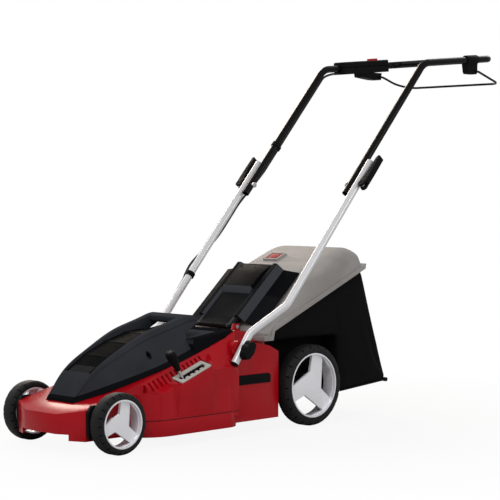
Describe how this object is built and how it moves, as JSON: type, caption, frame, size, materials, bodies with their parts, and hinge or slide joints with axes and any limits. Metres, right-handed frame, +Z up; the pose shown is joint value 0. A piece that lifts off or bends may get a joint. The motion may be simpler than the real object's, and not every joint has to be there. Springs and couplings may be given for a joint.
{
  "type": "electric rotary lawn mower",
  "caption": "Push rotary mower with a moulded deck, motor cowl, spoked wheels, cutting-height lever, folding tube handle with bail, rear flap and lidded grass bag.",
  "frame": {"origin": "on the ground under the middle of the mower's box", "axes": "+Z up, -Y towards the front wheels, +X towards the left-hand side as the user walks"},
  "size_m": [0.525, 1.659, 1.105],
  "materials": {
    "deck_red": "gloss",
    "cowl_black": "satin",
    "panel_black": "matte",
    "motor_steel": "satin",
    "steel": "satin",
    "zinc": "satin",
    "tyre_black": "matte",
    "rim_silver": "satin",
    "plate_grey": "satin",
    "black_plastic": "satin",
    "flap_black": "matte",
    "lid_grey": "satin",
    "bag_cloth": "woven",
    "signal_red": "gloss",
    "tube_silver": "polished",
    "tube_black": "gloss",
    "cable_black": "matte"
  },
  "bodies": {
    "deck": {"deck_shell": "deck_red", "motor_cowl": "cowl_black", "cowl_panel": "panel_black", "motor_body": "motor_steel", "front_axle_bracket_left": "black_plastic", "front_axle_bracket_right": "black_plastic", "rear_axle_bracket_left": "black_plastic", "rear_axle_bracket_right": "black_plastic", "height_plate": "plate_grey", "side_strip_left": "black_plastic", "side_strip_right": "black_plastic", "flap_pin": "steel", "handle_bolt_left": "zinc", "handle_bolt_right": "zinc", "cable_gland": "black_plastic", "cable_base": "cable_black"},
    "rotor": {"rotor_shaft": "steel", "blade": "steel", "blade_bolt": "zinc"},
    "front_carrier": {"front_axle": "zinc"},
    "rear_carrier": {"rear_axle": "zinc"},
    "link": {"height_link": "zinc"},
    "lever": {"lever_rod": "steel", "lever_knob": "black_plastic"},
    "flap": {"rear_flap": "flap_black"},
    "bag": {"bag_lid": "lid_grey", "bag_fabric": "bag_cloth"},
    "vane": {"level_vane": "signal_red"},
    "lower_handle": {"lower_tube_left": "tube_silver", "lower_tube_right": "tube_silver", "foot_cap_left": "black_plastic", "foot_cap_right": "black_plastic", "clamp_bolt_left": "zinc", "clamp_bolt_right": "zinc", "cable_lower": "cable_black", "cable_clip_lower": "black_plastic", "cable_fold": "cable_black"},
    "upper_handle": {"upper_tube": "tube_black", "switch_case_top": "black_plastic", "switch_case_bottom": "black_plastic", "bail_bracket": "black_plastic", "cable_upper": "cable_black", "cable_clip_upper": "black_plastic"},
    "knob_left": {"handle_knob_left": "black_plastic"},
    "knob_right": {"handle_knob_right": "black_plastic"},
    "cam_left": {"clamp_lever_left": "black_plastic"},
    "cam_right": {"clamp_lever_right": "black_plastic"},
    "bail": {"bail": "tube_black"},
    "button": {"safety_button": "signal_red"},
    "front_wheel_left": {"front_tyre_left": "tyre_black", "front_rim_left": "rim_silver"},
    "front_wheel_right": {"front_tyre_right": "tyre_black", "front_rim_right": "rim_silver"},
    "rear_wheel_left": {"rear_tyre_left": "tyre_black", "rear_rim_left": "rim_silver"},
    "rear_wheel_right": {"rear_tyre_right": "tyre_black", "rear_rim_right": "rim_silver"}
  },
  "joints": [
    {"name": "blade_spin", "type": "hinge", "parent": "deck", "child": "rotor", "pos_m": [0, -0.4695, 0.046], "axis": [0, 0, 1], "continuous": true},
    {"name": "front_carrier_turn", "type": "hinge", "parent": "deck", "child": "front_carrier", "pos_m": [0, -0.7595, 0.066], "axis": [1, 0, 0], "range_deg": [-60, 0]},
    {"name": "rear_carrier_turn", "type": "hinge", "parent": "deck", "child": "rear_carrier", "pos_m": [0, -0.0345, 0.102], "axis": [1, 0, 0], "range_deg": [-61, 1]},
    {"name": "link_turn", "type": "hinge", "parent": "front_carrier", "child": "link", "pos_m": [0.117, -0.77448, 0.10309], "axis": [1, 0, 0], "range_deg": [-1, 61]},
    {"name": "height_lever_turn", "type": "hinge", "parent": "deck", "child": "lever", "pos_m": [0.18, -0.4535, 0.108], "axis": [1, 0, 0], "range_deg": [-41, 1]},
    {"name": "front_wheel_left_spin", "type": "hinge", "parent": "front_carrier", "child": "front_wheel_left", "pos_m": [0.183, -0.7215, 0.08], "axis": [1, 0, 0], "continuous": true},
    {"name": "front_wheel_right_spin", "type": "hinge", "parent": "front_carrier", "child": "front_wheel_right", "pos_m": [-0.183, -0.7215, 0.08], "axis": [1, 0, 0], "continuous": true},
    {"name": "rear_wheel_left_spin", "type": "hinge", "parent": "rear_carrier", "child": "rear_wheel_left", "pos_m": [0.167, 0.0035, 0.116], "axis": [1, 0, 0], "continuous": true},
    {"name": "rear_wheel_right_spin", "type": "hinge", "parent": "rear_carrier", "child": "rear_wheel_right", "pos_m": [-0.167, 0.0035, 0.116], "axis": [1, 0, 0], "continuous": true},
    {"name": "flap_open", "type": "hinge", "parent": "deck", "child": "flap", "pos_m": [0, -0.2145, 0.291], "axis": [1, 0, 0], "range_deg": [0, 55]},
    {"name": "bag_slide", "type": "slide", "parent": "deck", "child": "bag", "axis": [0, 1, 0], "range_m": [0, 0.35]},
    {"name": "vane_lift", "type": "hinge", "parent": "bag", "child": "vane", "pos_m": [-0.06, 0.08634, 0.46831], "axis": [1, 0, 0], "range_deg": [0, 30]},
    {"name": "lower_handle_fold", "type": "hinge", "parent": "deck", "child": "lower_handle", "pos_m": [0, -0.28379, 0.23822], "axis": [-1, 0, 0], "range_deg": [-95, 0], "deforming": ["cable_base"]},
    {"name": "upper_handle_fold", "type": "hinge", "parent": "lower_handle", "child": "upper_handle", "pos_m": [0, 0.14082, 0.6871], "axis": [1, 0, 0], "range_deg": [0, 165], "deforming": ["cable_fold"]},
    {"name": "bail_pull", "type": "hinge", "parent": "upper_handle", "child": "bail", "pos_m": [0, 0.7165, 1.042], "axis": [1, 0, 0], "range_deg": [0, 33], "stiffness_Nm_per_rad": 1.2, "springref_deg": -20.05},
    {"name": "button_press", "type": "slide", "parent": "upper_handle", "child": "button", "axis": [0, 0.0916, -0.9958], "range_m": [0, 0.004], "stiffness_N_per_m": 400, "springref_m": -0.004},
    {"name": "knob_left_turn", "type": "hinge", "parent": "deck", "child": "knob_left", "pos_m": [0.2, -0.28379, 0.23822], "axis": [1, 0, 0], "continuous": true},
    {"name": "cam_left_open", "type": "hinge", "parent": "lower_handle", "child": "cam_left", "pos_m": [0.2505, 0.14082, 0.6871], "axis": [0, 0.7456, -0.6664], "range_deg": [0, 100]},
    {"name": "knob_right_turn", "type": "hinge", "parent": "deck", "child": "knob_right", "pos_m": [-0.2, -0.28379, 0.23822], "axis": [1, 0, 0], "continuous": true},
    {"name": "cam_right_open", "type": "hinge", "parent": "lower_handle", "child": "cam_right", "pos_m": [-0.2505, 0.14082, 0.6871], "axis": [0, -0.7456, 0.6664], "range_deg": [0, 100]}
  ],
  "couplings": [
    {"joint": "rear_carrier_turn", "follows": "front_carrier_turn", "ratio": 1},
    {"joint": "height_lever_turn", "follows": "front_carrier_turn", "ratio": 0.6667},
    {"joint": "link_turn", "follows": "front_carrier_turn", "ratio": -1}
  ]
}
